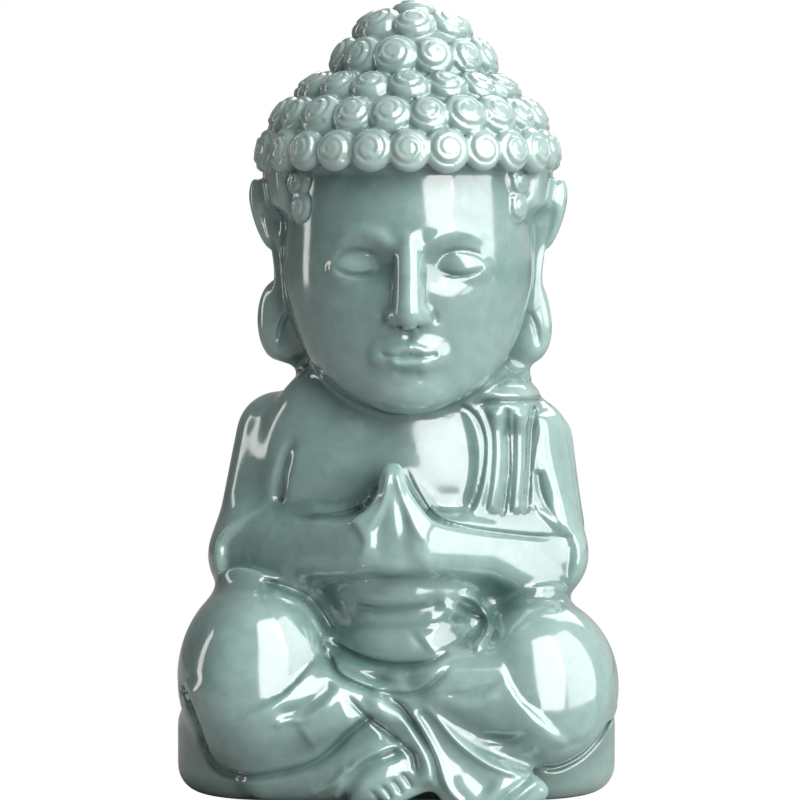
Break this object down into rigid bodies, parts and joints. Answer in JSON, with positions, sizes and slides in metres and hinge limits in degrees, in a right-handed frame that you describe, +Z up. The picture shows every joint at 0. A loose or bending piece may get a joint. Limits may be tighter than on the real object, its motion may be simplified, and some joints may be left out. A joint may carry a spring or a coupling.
{
  "type": "jade figurine",
  "caption": "Seated child-like Buddha carved in the round from grey-green jade, palms together, with snail-curl hair, long ears, draped robe and a low rock plinth with a flat underside.",
  "frame": {"origin": "middle of the flat underside of the plinth", "axes": "+Z up; the figure faces -Y; +X is the viewer's right, which is the figure's left"},
  "size_m": [0.0332, 0.025, 0.06],
  "materials": {
    "jade": "high polish, mottled grey-green jadeite",
    "jade_hair": "high polish, paler where the curls are thin",
    "jade_base": "high polish, slightly greyer at the base"
  },
  "bodies": {
    "root": {"plinth": "jade_base", "seat": "jade", "right_knee": "jade", "left_knee": "jade", "right_drape": "jade", "left_drape": "jade", "right_shin": "jade", "right_foot": "jade", "lap_flap": "jade", "waist_band": "jade", "belly": "jade", "torso": "jade", "robe_wrap": "jade", "robe_collar": "jade", "right_upper_arm": "jade", "left_upper_arm": "jade", "right_forearm": "jade", "left_forearm": "jade", "right_hand": "jade", "left_hand": "jade", "neck": "jade", "head": "jade", "right_ear": "jade", "left_ear": "jade", "hair_cap": "jade_hair", "crown": "jade_hair", "hair_curls": "jade_hair"}
  },
  "joints": []
}
